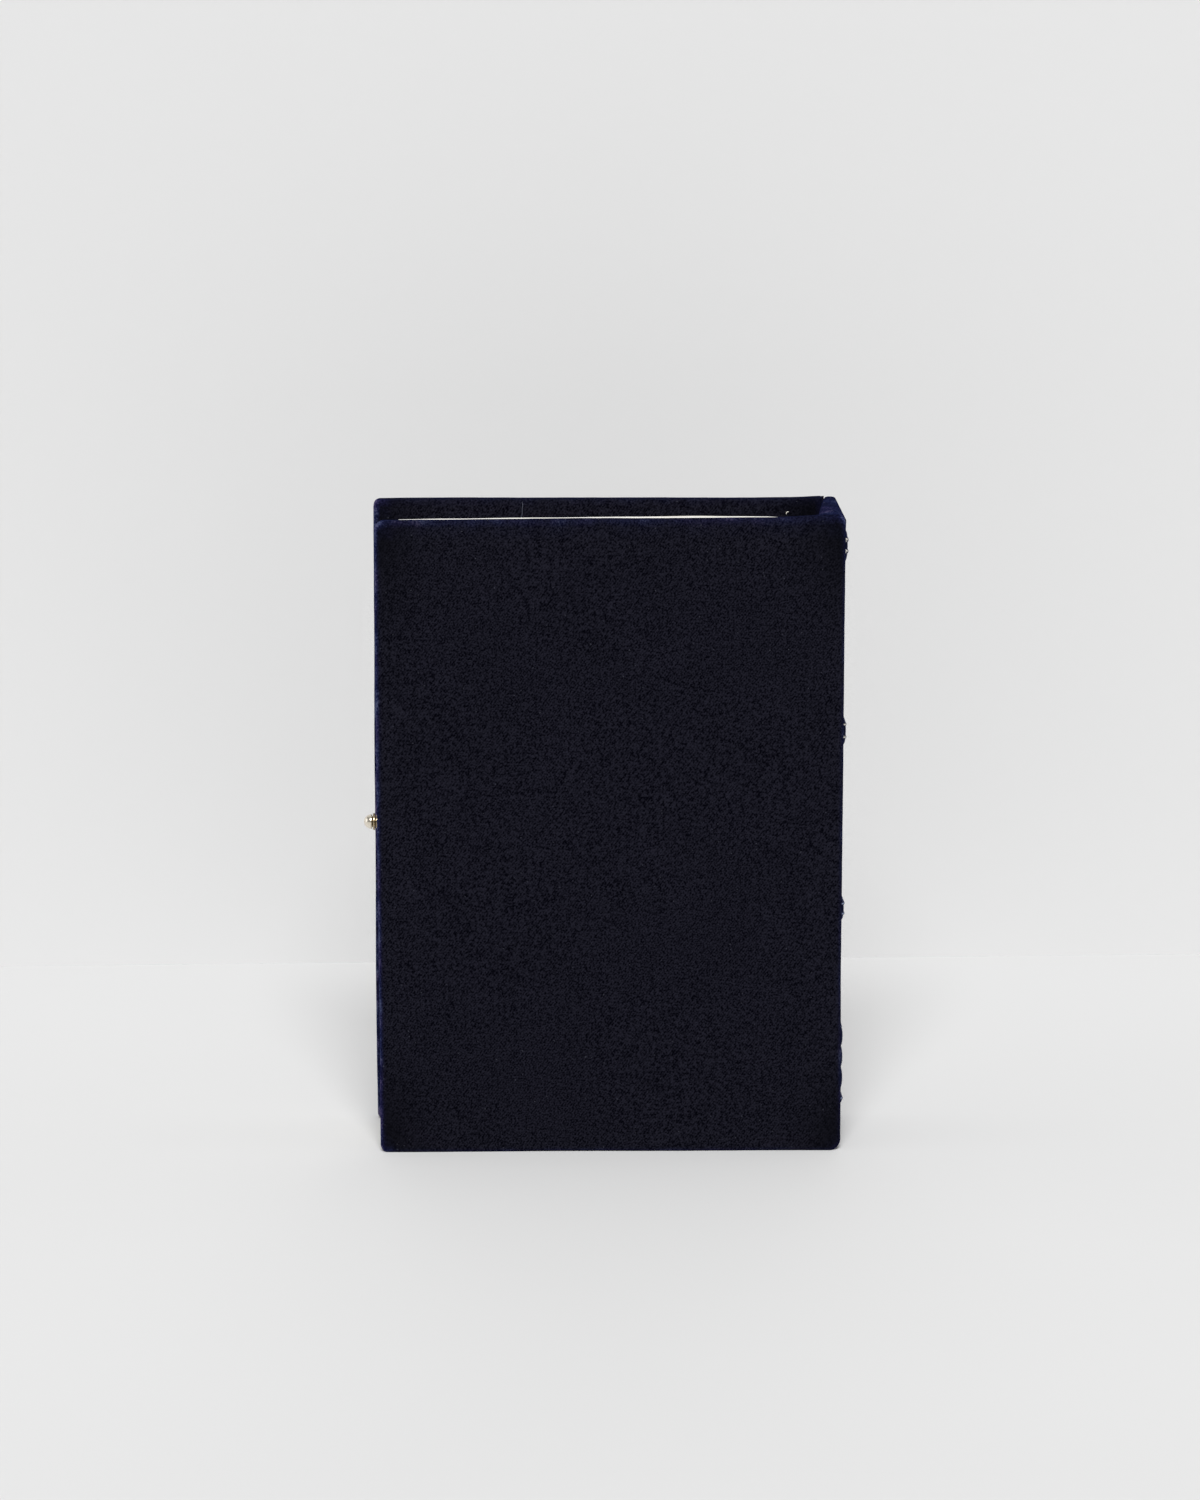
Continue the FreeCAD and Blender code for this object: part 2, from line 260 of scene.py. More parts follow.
def mixColours(tree, factor, first, second, blend="MIX"):
    node = addNode(tree, "ShaderNodeMix", data_type="RGBA", blend_type=blend)
    feed(tree, (factor, first, second), (node.inputs[0], node.inputs[6], node.inputs[7]))
    return node.outputs[2]


def sums(tree, operation, *values):
    node = addNode(tree, "ShaderNodeMath", operation=operation)
    feed(tree, values, node.inputs)
    return node.outputs[0]


def addBump(tree, shader, height, strength, depth):
    bump = addNode(tree, "ShaderNodeBump", Strength=strength, Distance=depth)
    tree.links.new(height, bump.inputs["Height"])
    tree.links.new(bump.outputs["Normal"], shader.inputs["Normal"])


def rowsAcross(tree, perMetre, wander, wanderSize=4 * mm):
    # rows of a weave, as a wave along a direction, with a little wander
    place = objectPlace(tree)
    dot = addNode(tree, "ShaderNodeVectorMath", operation="DOT_PRODUCT")
    tree.links.new(place, dot.inputs[0])
    dot.inputs[1].default_value = [2 * math.pi * p for p in perMetre]
    bend = sums(tree, "MULTIPLY", grain(tree, wanderSize), wander)
    phase = sums(tree, "ADD", dot.outputs["Value"], bend)
    return sums(tree, "MULTIPLY_ADD", sums(tree, "SINE", phase), 0.5, 0.5)


def setShader(shader, **values):
    for key, value in values.items():
        shader.inputs[key.replace("_", " ")].default_value = value


# Materials
white = (1, 1, 1, 1)
velvet = {
    "pileDark": (0.0011, 0.0011, 0.0026, 1),
    "pileLight": (0.0127, 0.0126, 0.0197, 1),
    "pilePlaces": (0.34, 0.66),
    "tuftSize": 0.6 * mm,
    "fibreSize": 0.13 * mm,
    "fibreShare": 0.25,
    "rowsPerMetre": (1025, 900, -770),
    "rowWander": 5.0,
    "rowShare": 0.1,
    "patchSize": 14 * mm,
    "patchDark": (0.95, 0.95, 0.96, 1),
    "patchLight": (1.05, 1.04, 1.06, 1),
    # painted shade towards the corners of the covers
    "cornerShadeColour": (0.0029, 0.0030, 0.0044, 1),
    # painted sheen and highlight of the edges and corners, partly real rubbed pile
    "wornSheenSize": 0.6 * mm,
    "wornSheenPatchSize": 6 * mm,
    "wornSheenDeep": (0.0048, 0.0066, 0.0350, 1),
    "wornSheenBlue": (0.0095, 0.0132, 0.0540, 1),
    "wornSheenPale": (0.0620, 0.0730, 0.1350, 1),
    "wornSheenPlaces": (0.38, 0.53, 0.68),
    "wearSheenPaleness": 0.15,  # paler where the painted sheen and wear are stronger
    "castSize": 11 * mm,
    "purpleCast": (1.3, 0.9, 0.97, 1),
    "castPlaces": (0.45, 0.62),
    "lint": (0.115, 0.12, 0.15, 1),
    "lintCell": 2.0 * mm,
    "lintReach": 0.1,  # radius of a speck over the cell
    "lintShare": 0.24,  # cells that have one
    "lintBend": 0.7 * mm,
    "wispSize": 0.5 * mm,
    "sheenTint": (0.004, 0.008, 0.036, 1),
}


def navyVelvet():
    material, tree, shader = newMaterial("navyVelvet")
    tufts = grain(tree, velvet["tuftSize"], detail=1.5, fineShare=0.6)
    fibres = grain(tree, velvet["fibreSize"], fineShare=0.6)
    rows = rowsAcross(tree, velvet["rowsPerMetre"], velvet["rowWander"])
    pile = sums(tree, "MULTIPLY_ADD", sums(tree, "SUBTRACT", fibres, 0.5), velvet["fibreShare"], tufts)
    nap = sums(tree, "MULTIPLY_ADD", sums(tree, "SUBTRACT", rows, 0.5), velvet["rowShare"], pile)
    colour = ramp(tree, nap, (velvet["pileDark"], velvet["pileLight"]), velvet["pilePlaces"])
    patches = ramp(tree, grain(tree, velvet["patchSize"]), (velvet["patchDark"], velvet["patchLight"]))
    colour = mixColours(tree, 1.0, colour, patches, "MULTIPLY")
    # painted shade, darker towards the corners
    press = addNode(tree, "ShaderNodeAttribute", attribute_name="press").outputs["Fac"]
    colour = mixColours(tree, press, colour, velvet["cornerShadeColour"])
    # painted sheen along the edges and painted highlights at the corners, partly real rubbed pile, in
    # patches
    rub = addNode(tree, "ShaderNodeAttribute", attribute_name="rub").outputs["Fac"]
    fineWornSheen = grain(tree, velvet["wornSheenSize"], fineShare=0.6)
    wornSheen = sums(tree, "ADD", fineWornSheen, grain(tree, velvet["wornSheenPatchSize"]))
    uneven = sums(tree, "MULTIPLY", rub, sums(tree, "MULTIPLY_ADD", wornSheen, 2.0, -1.0))
    uneven.node.use_clamp = True
    extra = sums(tree, "MULTIPLY_ADD", rub, velvet["wearSheenPaleness"], -velvet["wearSheenPaleness"] / 2)
    paleness = sums(tree, "MULTIPLY_ADD", wornSheen, 0.5, extra)
    shades = (velvet["wornSheenDeep"], velvet["wornSheenBlue"], velvet["wornSheenPale"])
    tint = ramp(tree, paleness, shades, velvet["wornSheenPlaces"])
    castPatches = grain(tree, velvet["castSize"], detail=1)
    cast = ramp(tree, castPatches, (white, velvet["purpleCast"]), velvet["castPlaces"])
    colour = mixColours(tree, uneven, colour, mixColours(tree, 1.0, tint, cast, "MULTIPLY"))
    # lint: a small share of random cells has a speck
    cells = addNode(tree, "ShaderNodeTexVoronoi", Scale=1 / velvet["lintCell"])
    bent = addNode(tree, "ShaderNodeVectorMath", operation="MULTIPLY_ADD")
    wisps = addNode(tree, "ShaderNodeTexNoise", Scale=1 / velvet["wispSize"])
    tree.links.new(objectPlace(tree), wisps.inputs["Vector"])
    tree.links.new(wisps.outputs["Color"], bent.inputs[0])
    bent.inputs[1].default_value = [velvet["lintBend"]] * 3
    tree.links.new(objectPlace(tree), bent.inputs[2])
    tree.links.new(bent.outputs["Vector"], cells.inputs["Vector"])
    speck = sums(tree, "LESS_THAN", cells.outputs["Distance"], velvet["lintReach"])
    chosen = addNode(tree, "ShaderNodeSeparateColor")
    tree.links.new(cells.outputs["Color"], chosen.inputs["Color"])
    speck = sums(tree, "MULTIPLY", speck, sums(tree, "LESS_THAN", chosen.outputs[0], velvet["lintShare"]))
    speck = sums(tree, "MULTIPLY", speck, chosen.outputs[1])
    colour = mixColours(tree, speck, colour, velvet["lint"])
    tree.links.new(colour, shader.inputs["Base Color"])
    setShader(shader, Roughness=0.95, Specular_IOR_Level=0.0, Sheen_Weight=1.0,
              Sheen_Roughness=0.35, Sheen_Tint=velvet["sheenTint"])
    addBump(tree, shader, nap, strength=0.5, depth=0.12 * mm)
    return material


paper = {
    "fibreSize": 0.35 * mm,
    "fibreStretch": (0.012, 2.5, 0.012),  # long along the pages' edges, fine across them
    "dark": (0.72, 0.70, 0.65, 1),
    "light": (0.90, 0.89, 0.86, 1),
    "places": (0.3, 0.65),
    "stain": (0.96, 0.95, 0.92, 1),
    "stainSize": 22 * mm,
}


def whitePages():
    material, tree, shader = newMaterial("pageCloth")
    fibres = grain(tree, paper["fibreSize"], detail=3, fineShare=0.6, stretch=paper["fibreStretch"])
    colour = ramp(tree, fibres, (paper["dark"], paper["light"]), paper["places"])
    stains = ramp(tree, grain(tree, paper["stainSize"]), (paper["stain"], white))
    tree.links.new(mixColours(tree, 1.0, colour, stains, "MULTIPLY"), shader.inputs["Base Color"])
    setShader(shader, Roughness=0.85, Specular_IOR_Level=0.2)
    addBump(tree, shader, fibres, strength=0.25, depth=0.08 * mm)
    return material


plainWeave = {
    "threadsPerMetre": 2100,
    "wander": 1.5,
    "gap": (0.66, 0.61, 0.51, 1),
    "thread": (0.87, 0.83, 0.73, 1),
    "places": (0.0, 0.7),
    "slubSize": 2.5 * mm,
    "slubDark": (0.90, 0.89, 0.86, 1),
    "slubLight": (1.04, 1.03, 1.0, 1),
}


def ivoryCotton():
    material, tree, shader = newMaterial("ivoryCotton")
    # two sets of threads, crossed by their waves
    count = plainWeave["threadsPerMetre"]
    warp = rowsAcross(tree, (count, count, 0), plainWeave["wander"])
    weft = rowsAcross(tree, (0, 0, count), plainWeave["wander"])
    weave = sums(tree, "MULTIPLY", warp, weft)
    colour = ramp(tree, weave, (plainWeave["gap"], plainWeave["thread"]), plainWeave["places"])
    slubs = grain(tree, plainWeave["slubSize"], detail=3, fineShare=0.6)
    tone = ramp(tree, slubs, (plainWeave["slubDark"], plainWeave["slubLight"]))
    tree.links.new(mixColours(tree, 1.0, colour, tone, "MULTIPLY"), shader.inputs["Base Color"])
    setShader(shader, Roughness=0.9, Specular_IOR_Level=0.15, Sheen_Weight=0.15, Sheen_Roughness=0.5)
    addBump(tree, shader, weave, strength=0.5, depth=0.09 * mm)
    return material


brassWork = {"tarnishSize": 1.6 * mm, "scratchSize": 0.5 * mm, "scratchStretch": (1, 0.08, 1)}


def polishedBrass(name, dark, light, smooth, dull):
    material, tree, shader = newMaterial(name)
    tarnish = grain(tree, brassWork["tarnishSize"], detail=3, fineShare=0.6)
    tree.links.new(ramp(tree, tarnish, (dark, light)), shader.inputs["Base Color"])
    scratches = grain(tree, brassWork["scratchSize"], fineShare=0.6, stretch=brassWork["scratchStretch"])
    rough = addNode(tree, "ShaderNodeMapRange")
    rough.inputs["To Min"].default_value = smooth
    rough.inputs["To Max"].default_value = dull
    tree.links.new(scratches, rough.inputs["Value"])
    tree.links.new(rough.outputs["Result"], shader.inputs["Roughness"])
    setShader(shader, Metallic=1.0)
    addBump(tree, shader, scratches, strength=0.06, depth=0.02 * mm)
    return material


def grainedFinish(name, size, dark, light, strength, depth, detail=2, fineShare=0.6, stretch=(1, 1, 1),
                  places=(0.3, 0.7), **values):
    # one grain gives both the colour and the relief
    material, tree, shader = newMaterial(name)
    relief = grain(tree, size, detail, fineShare, stretch)
    tree.links.new(ramp(tree, relief, (dark, light), places), shader.inputs["Base Color"])
    setShader(shader, **values)
    addBump(tree, shader, relief, strength, depth)
    return material


def satinThread(name, dark, light, stretch):
    return grainedFinish(name, size=0.16 * mm, dark=dark, light=light, strength=0.4, depth=0.05 * mm,
                         stretch=stretch, Roughness=0.42, Specular_IOR_Level=0.45, Sheen_Weight=0.1,
                         Sheen_Roughness=0.4)


navy = navyVelvet()
pages = whitePages()
cotton = ivoryCotton()
# paler copy of the brass for the ball: painted reflection of the pale surroundings
paleBrass = polishedBrass("paleBrass", (0.74, 0.67, 0.55, 1), (0.87, 0.81, 0.71, 1), smooth=0.16, dull=0.3)
# darker copy of the brass for the stem: painted shade, the dark velvet's reflection
duskyBrass = polishedBrass("duskyBrass", (0.30, 0.24, 0.15, 1), (0.46, 0.38, 0.26, 1), smooth=0.16, dull=0.3)
brass = polishedBrass("brass", (0.76, 0.63, 0.42, 1), (0.82, 0.70, 0.50, 1), smooth=0.10, dull=0.22)
navyThread = satinThread("navyThread", (0.006, 0.008, 0.030, 1), (0.018, 0.023, 0.075, 1), (1, 1, 0.1))
ivoryThread = satinThread("ivoryThread", (0.52, 0.49, 0.42, 1), (0.82, 0.80, 0.74, 1), (1, 0.3, 1))
blueThread = satinThread("blueThread", (0.13, 0.17, 0.30, 1), (0.30, 0.36, 0.52, 1), (1, 0.3, 1))
greyThread = satinThread("greyThread", (0.03, 0.035, 0.06, 1), (0.08, 0.09, 0.13, 1), (1, 1, 0.3))
board = grainedFinish("greyboard", size=0.8 * mm, dark=(0.13, 0.12, 0.11, 1), light=(0.23, 0.21, 0.19, 1),
                      strength=0.4, depth=0.1 * mm, detail=4, fineShare=0.7, places=(0.35, 0.65),
                      Roughness=0.95, Specular_IOR_Level=0.1)
wadding = grainedFinish("wadding", size=1.5 * mm, dark=(0.70, 0.70, 0.68, 1), light=(0.86, 0.86, 0.84, 1),
                        strength=0.8, depth=0.4 * mm, detail=5, fineShare=0.7, Roughness=1.0,
                        Specular_IOR_Level=0.05, Sheen_Weight=0.3)
steel = grainedFinish("springSteel", size=0.3 * mm, dark=(0.42, 0.43, 0.45, 1), light=(0.58, 0.58, 0.59, 1),
                      strength=0.08, depth=0.02 * mm, fineShare=0.5, stretch=(1, 0.1, 1), Metallic=1.0,
                      Roughness=0.28)
print("materials made")

# Solids that keep their CAD shape get their finish here
for name, node in cadNodes.items():
    node.data.materials.clear()
    if name == "spine_padding":
        node.data.materials.append(wadding)
    elif "greyboard" in name or name.endswith("_wall") or name == "spine_card":
        node.data.materials.append(board)
    else:
        node.data.materials.append(brass)

# Velvet-covered boards
cover = {
    # radius of each corner: fore edge at head and tail, spine edge at head and tail
    "backCorners": (3.2 * mm, 2.2 * mm, 2.15 * mm, 3.3 * mm),
    "frontCorners": (2.15 * mm, 2.15 * mm, 0.5 * mm, 0.5 * mm),
    "cornerSteps": 6,
    "edgeRadius": 1.45 * mm,
    "edgeSteps": 5,
    "velvetThick": 0.7 * mm,
    "gridStep": 4 * mm,
    "gridClear": 1 * mm,  # least distance from the grid to the window's edges
    "firstRow": 0.8 * mm,  # from the rounded edge to the first row of the grid
    "windowMargin": 0.3 * mm,  # from the floor pad to the end of the turn-in
    "waver": 0.22 * mm,
    "waverSize": 48 * mm,
    "fuzz": 0.05 * mm,
    "fuzzSize": 3.5 * mm,
    "fuzzSeed": 7,
    # painted sheen and highlight along the edges and at the corners, partly real rubbed pile
    "wearSheenReach": 0.85 * mm,
    "wearSheenTopReach": 1.7 * mm,
    "wearSheenBackTop": 0.28,
    "wearSheenFrontTop": 0.1,
    "wearSheenFore": 1.0,
    "wearSheenSpine": 0.35,
    "wearSheenTail": 0.3,
    "wearSheenCorner": 1.6,
    "wearSheenCornerReach": 1.9 * mm,
    "wearSheenMost": 1.7,
    # share of the corners' painted highlight and wear at the spine edge
    "backSpineShare": 0.6,
    "frontSpineShare": 0.0,
    # painted shade, darker towards the corners of each cover
    "cornerShadeWide": 11 * mm,
    "cornerShadeTall": 22 * mm,
    "press": 0.88,
    "headReach": 5 * mm,  # depth below the head that rises with it
    # rise of the velvet along the head, by share of the width from the fore edge
    "backHead": [(0, 0.12), (0.08, 0.19), (0.3, 0.37), (0.5, 0.5), (0.75, 0.66), (0.85, 0.66), (0.91, 0.97),
                 (0.95, 1.4), (0.975, 2.1), (1, 1.2)],
    "frontHead": [(0, 0.2), (0.1, 0.3), (0.35, 0.25), (0.6, 0.12), (0.8, 0), (0.93, 0.05), (1, 0.4)],
    # drift of the fore edge and of the spine edge along X, by share of the height from the tail
    "backFore": [(0, 0.28), (0.12, 0.22), (0.45, 0), (1, 0)],
    "backSpine": [(0, 0.2), (0.14, 0.2), (0.3, -0.15), (0.65, -0.12), (0.8, 0), (1, 0)],
    "frontFore": [(0, -0.3), (0.1, -0.45), (0.6, -0.2), (0.8, 0), (1, 0.1)],
    "frontSpine": [(0, 0), (1, 0)],
    "tailSpread": 0.8 * mm,  # pile pressed outward where the box stands on it
    "tailReach": 1.5 * mm,
}


def fade(distance, reach):
    return math.exp(-(distance / reach) ** 2)


def markWear(bm, low, high, wearSheenTop, spineShare):
    # rubbed pile and painted sheen along the edges, painted highlights at the corners, painted shade towards
    # the corners
    rub = bm.verts.layers.float.new("rub")
    press = bm.verts.layers.float.new("press")
    for v in bm.verts:
        toTop, toTail = high.z - v.co.z, v.co.z - low.z
        toFore, toSpine = v.co.x - low.x, high.x - v.co.x
        reach = cover["wearSheenReach"]
        wearSheens = (wearSheenTop * fade(toTop, cover["wearSheenTopReach"]), cover["wearSheenFore"] * fade(toFore, reach),
                cover["wearSheenSpine"] * fade(toSpine, reach), cover["wearSheenTail"] * fade(toTail, reach))
        up, across = min(toTop, toTail), min(toFore, toSpine)
        corner = math.hypot(up, across)
        atCorner = cover["wearSheenCorner"] * fade(corner, cover["wearSheenCornerReach"])
        if toSpine < toFore:
            atCorner *= spineShare
        v[rub] = min(cover["wearSheenMost"], max(wearSheens) + atCorner)
        # painted shade towards the corners, less where the edges carry painted sheen
        away = math.hypot(up / cover["cornerShadeTall"], across / cover["cornerShadeWide"])
        v[press] = cover["press"] * fade(away, 1) * max(0, 1 - v[rub])


def raiseHead(bm, low, high, stops):
    for v in bm.verts:
        rise = along(stops, (v.co.x - low.x) / (high.x - low.x)) * mm
        v.co.z += rise * ease((v.co.z - high.z) / cover["headReach"] + 1)


def settle(bm, low, high, side, fore, spineEdge):
    # edges that drift a little from straight, and a tail pressed flat by the weight
    middleX = (low.x + high.x) / 2
    for v in bm.verts:
        share = (v.co.z - low.z) / (high.z - low.z)
        out = (v.co.x - middleX) / (high.x - middleX)
        drift = along(fore, share) if out < 0 else along(spineEdge, share)
        v.co.x += drift * mm * abs(out) ** 3
        outward = (v.co.y - (low.y + high.y) / 2) * side
        if outward > 0 and v.co.z < low.z + cover["tailReach"]:
            v.co.y += side * cover["tailSpread"] * (1 - (v.co.z - low.z) / cover["tailReach"]) ** 2


def roundCorners(bm, low, high, radii):
    corners = ((low.x, high.z), (low.x, low.z), (high.x, high.z), (high.x, low.z))
    for (x, z), radius in zip(corners, radii):
        atX = edgesOnPlane(bm, xAxis, x)
        roundEdges(bm, [e for e in edgesOnPlane(bm, zAxis, z) if e in atX], radius, cover["cornerSteps"])


def velvetCover(name, node, padNode, side, body, seed, parts, wearSheenTop):
    low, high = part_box(node)
    bm = shapeFromBox(low, high)
    roundCorners(bm, low, high, cover[parts + "Corners"])
    rims = edgesOnPlane(bm, yAxis, low.y) + edgesOnPlane(bm, yAxis, high.y)
    roundEdges(bm, rims, cover["edgeRadius"], cover["edgeSteps"])
    padLow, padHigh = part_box(padNode)
    margin = cover["windowMargin"]
    for axis in (xAxis, zAxis):
        inset = cover["edgeRadius"] + cover["firstRow"]
        start, end = low[axis] + inset, high[axis] - inset
        window = [padLow[axis] - margin, padHigh[axis] + margin]
        grid = evenPlaces(start, end, cover["gridStep"])
        clear = [p for p in grid if min(abs(p - w) for w in window) > cover["gridClear"]]
        sliceAcross(bm, axis, clear + window)
    # the turn-in ends under the tray, so the middle of the inner side is bare
    bm.normal_update()
    bare = []
    for face in bm.faces:
        centre = face.calc_center_median()
        within = all(padLow[a] - margin < centre[a] < padHigh[a] + margin for a in (xAxis, zAxis))
        if within and face.normal.y * side < -facing:
            bare.append(face)
    bmesh.ops.delete(bm, geom=bare, context="FACES")
    markWear(bm, low, high, wearSheenTop, cover[parts + "SpineShare"])
    waver(bm, cover["waver"], cover["waverSize"], seed)
    waver(bm, cover["fuzz"], cover["fuzzSize"], seed + cover["fuzzSeed"])
    raiseHead(bm, low, high, cover[parts + "Head"])
    settle(bm, low, high, side, cover[parts + "Fore"], cover[parts + "Spine"])
    for v in bm.verts:
        v.co.z = max(v.co.z, low.z)
    piece = makePiece(name, bm, [navy], body)
    giveThickness(piece, cover["velvetThick"])
    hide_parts(node)


velvetCover("backCoverVelvet", "back_cover_velvet", "back_floor_pad", -1, "back_half", 1.7, "back",
            cover["wearSheenBackTop"])
velvetCover("frontCoverVelvet", "front_cover_velvet", "front_floor_pad", 1, "front_half", 4.1, "front",
            cover["wearSheenFrontTop"])
print("covers wrapped")

# Padded spine, wide at the back cover and narrow at the joint, leaning with the front cover
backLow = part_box("back_cover_velvet")[0]
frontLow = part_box("front_cover_velvet")[0]
spineLow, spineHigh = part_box("spine_velvet")
spine = {
    "jointThick": 3.6 * mm,
    "shift": backLow.x - frontLow.x,
    "roundRadius": 1.35 * mm,
    "roundSteps": 6,
    "velvetThick": 0.7 * mm,
    "gridStep": 4 * mm,
    "firstRow": 0.8 * mm,  # from the rounded edges
    "firstColumn": 1 * mm,  # from the back cover
    "turned": 0.3,  # share of a normal that counts as facing a side
    "puff": 0.9 * mm,
    # painted sheen on the top of the spine's head, partly real wear
    "headWearSheen": 0.45,
    "wearSheenReach": 1.0 * mm,
    "headPuff": 0.3 * mm,  # outward, where the velvet is gathered at the head
    "headRise": 0.45 * mm,
    "headReach": 9 * mm,
    "waver": 0.16 * mm,
    "waverSize": 30 * mm,
    "seed": 9.2,
}


def spineOutside(y):
    share = (y - spineLow.y) / (spineHigh.y - spineLow.y)
    return spineHigh.x - spine["shift"] * share


def spineShape():
    jointX = spineOutside(spineHigh.y)
    plan = [(spineLow.x, spineLow.y), (spineHigh.x, spineLow.y), (jointX, spineHigh.y),
            (jointX - spine["jointThick"], spineHigh.y)]
    bm = prismFromPlan(plan, spineLow.z, spineHigh.z)
    nearEnd = set(edgesOnPlane(bm, yAxis, spineLow.y))
    roundEdges(bm, [e for e in bm.edges if e not in nearEnd], spine["roundRadius"], spine["roundSteps"])
    inset = spine["roundRadius"] + spine["firstRow"]
    sliceAcross(bm, zAxis, evenPlaces(spineLow.z + inset, spineHigh.z - inset, spine["gridStep"]))
    firstY = spineLow.y + spine["firstColumn"]
    sliceAcross(bm, yAxis, evenPlaces(firstY, spineHigh.y - inset, spine["gridStep"]))
    return bm


def spineVelvet():
    bm = spineShape()
    closing = [f for f in bm.faces if all(abs(v.co.y - spineLow.y) < samePlace for v in f.verts)]
    bmesh.ops.delete(bm, geom=closing, context="FACES")
    # painted sheen on the top of the spine's head, partly real wear
    rub = bm.verts.layers.float.new("rub")
    bm.normal_update()
    for v in bm.verts:
        v[rub] = spine["headWearSheen"] * fade(spineHigh.z - v.co.z, spine["wearSheenReach"])
        # the wadding swells the side that faces the pages, most of all at the back cover
        share = (v.co.y - spineLow.y) / (spineHigh.y - spineLow.y)
        if v.normal.x < -spine["turned"]:
            v.co.x -= spine["puff"] * (1 - share * share)
        gather = ease((v.co.z - spineHigh.z) / spine["headReach"] + 1)
        v.co.z += spine["headRise"] * gather
        if v.normal.x > spine["turned"]:
            v.co.x += spine["headPuff"] * gather
    waver(bm, spine["waver"], spine["waverSize"], spine["seed"])
    for v in bm.verts:
        v.co.z = max(v.co.z, spineLow.z)
        v.co.y = max(v.co.y, spineLow.y)
    piece = makePiece("spineVelvet", bm, [navy], "back_half")
    giveThickness(piece, spine["velvetThick"])
    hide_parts("spine_velvet")


spineVelvet()

# Velvet joint: a roll round the hinge, between the spine and the front cover
joint = {
    "rollRadius": 0.42 * mm,
    "headRise": 1.75 * mm,
    "steps": 10,
    "step": 4 * mm,
    "waver": 0.05 * mm,
    "waverSize": 6 * mm,
    "seed": 2.2,
    "blendReach": 0.5 * mm,
}


def jointVelvet():
    low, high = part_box("joint_velvet")
    hinge = Vector(next(j for j in frame["joints"] if j["name"] == "cover_hinge")["pos_m"])
    places = evenPlaces(low.z, high.z + joint["headRise"], joint["step"])
    line = [(hinge.x + joint["rollRadius"], hinge.y, z) for z in places]
    bm = spunShape(line, hinge, (0, 0, 1), joint["steps"])
    waver(bm, joint["waver"], joint["waverSize"], joint["seed"])
    piece = makePiece("jointVelvet", bm, [navy], None)
    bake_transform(piece)
    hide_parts("joint_velvet")


jointVelvet()
print("spine and joint covered")

# Page edges: cloth ring with a ridge for each few pages
pageRing = {
    "pitch": 0.62 * mm,
    "ridge": 0.16 * mm,
    "ridgeSteps": 4,
    # least and greatest height of a crest and of the valley beside it, as shares of the ridge
    "crest": (-0.6, 0.0),
    "valley": (-1.5, -1.0),
    "shoulder": 0.25,  # below the crest
    "clothThick": 0.5 * mm,
    "wander": 0.35,
    "wanderSize": 9 * mm,
    "wanderStep": 3.1,  # from a ridge to the next, in the wander
    "cornerRadius": 1.2 * mm,
    "cornerSteps": 4,
    "firstRow": 1 * mm,  # from the rounded corner
    "gridStep": 4 * mm,
    "headStart": 80 * mm,  # above the middle
    # height of the head along the width, from its nominal place
    "head": [(0, -0.72), (0.13, -0.52), (0.38, -0.25), (0.6, -0.05), (0.76, 0.16), (0.87, -0.01),
             (0.95, -0.12), (1, -0.4)],
}


def headDrop(x, low, high):
    return along(pageRing["head"], (x - low.x) / (high.x - low.x)) * mm


def pageCloth(name, node, body, seed):
    low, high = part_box(node)
    bm = shapeFromBox(low, high)
    roundEdges(bm, edgesAlong(bm, yAxis), pageRing["cornerRadius"], pageRing["cornerSteps"])
    openEnds(bm)
    for axis in (xAxis, zAxis):
        inset = pageRing["cornerRadius"] + pageRing["firstRow"]
        sliceAcross(bm, axis, evenPlaces(low[axis] + inset, high[axis] - inset, pageRing["gridStep"]))
    ridges = round((high.y - low.y) / pageRing["pitch"])
    steps = pageRing["ridgeSteps"]
    step = (high.y - low.y) / (ridges * steps)
    levels = evenPlaces(low.y, high.y, step)
    sliceAcross(bm, yAxis, levels[1:-1])
    bm.normal_update()
    draw = random.Random(seed)
    heights = []
    for ridge in range(ridges + 1):
        crest = draw.uniform(*pageRing["crest"])
        shoulder = crest - pageRing["shoulder"]
        heights += [draw.uniform(*pageRing["valley"]), shoulder, crest, shoulder]
    headZ = (low.z + high.z) / 2 + pageRing["headStart"]
    size = pageRing["wanderSize"]
    for v in bm.verts:
        level = round((v.co.y - low.y) / step)
        flat = Vector((v.normal.x, 0, v.normal.z)).normalized()
        row = level // steps * pageRing["wanderStep"]
        sway = noise.noise(Vector((v.co.x / size, row, v.co.z / size)))
        v.co += flat * pageRing["ridge"] * (heights[level] + pageRing["wander"] * sway)
        if v.co.z > headZ:
            v.co.z += headDrop(v.co.x, low, high)
    piece = makePiece(name, bm, [pages], body)
    giveThickness(piece, pageRing["clothThick"])
    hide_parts(node)


wallBoard = {"clearance": 0.1 * mm, "roundRadius": 0.15 * mm, "roundSteps": 2}


def headWall(name, node, clothNode, body):
    # the head wall is cut to the same uneven line, under the cloth
    low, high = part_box(node)
    clothLow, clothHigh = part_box(clothNode)
    bm = shapeFromBox(low, high)
    sliceAcross(bm, xAxis, evenPlaces(low.x, high.x, pageRing["gridStep"])[1:-1])
    for v in bm.verts:
        if v.co.z > (low.z + high.z) / 2:
            v.co.z += min(0, headDrop(v.co.x, clothLow, clothHigh)) - wallBoard["clearance"]
    roundEdges(bm, edgesAlong(bm, xAxis), wallBoard["roundRadius"], wallBoard["roundSteps"])
    piece = makePiece(name, bm, [board], body)
    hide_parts(node)


headWall("backHeadWall", "back_head_wall", "back_page_cloth", "back_half")
headWall("frontHeadWall", "front_head_wall", "front_page_cloth", "front_half")
pageCloth("backPageCloth", "back_page_cloth", "back_half", 11)
pageCloth("frontPageCloth", "front_page_cloth", "front_half", 12)
print("page edges made")

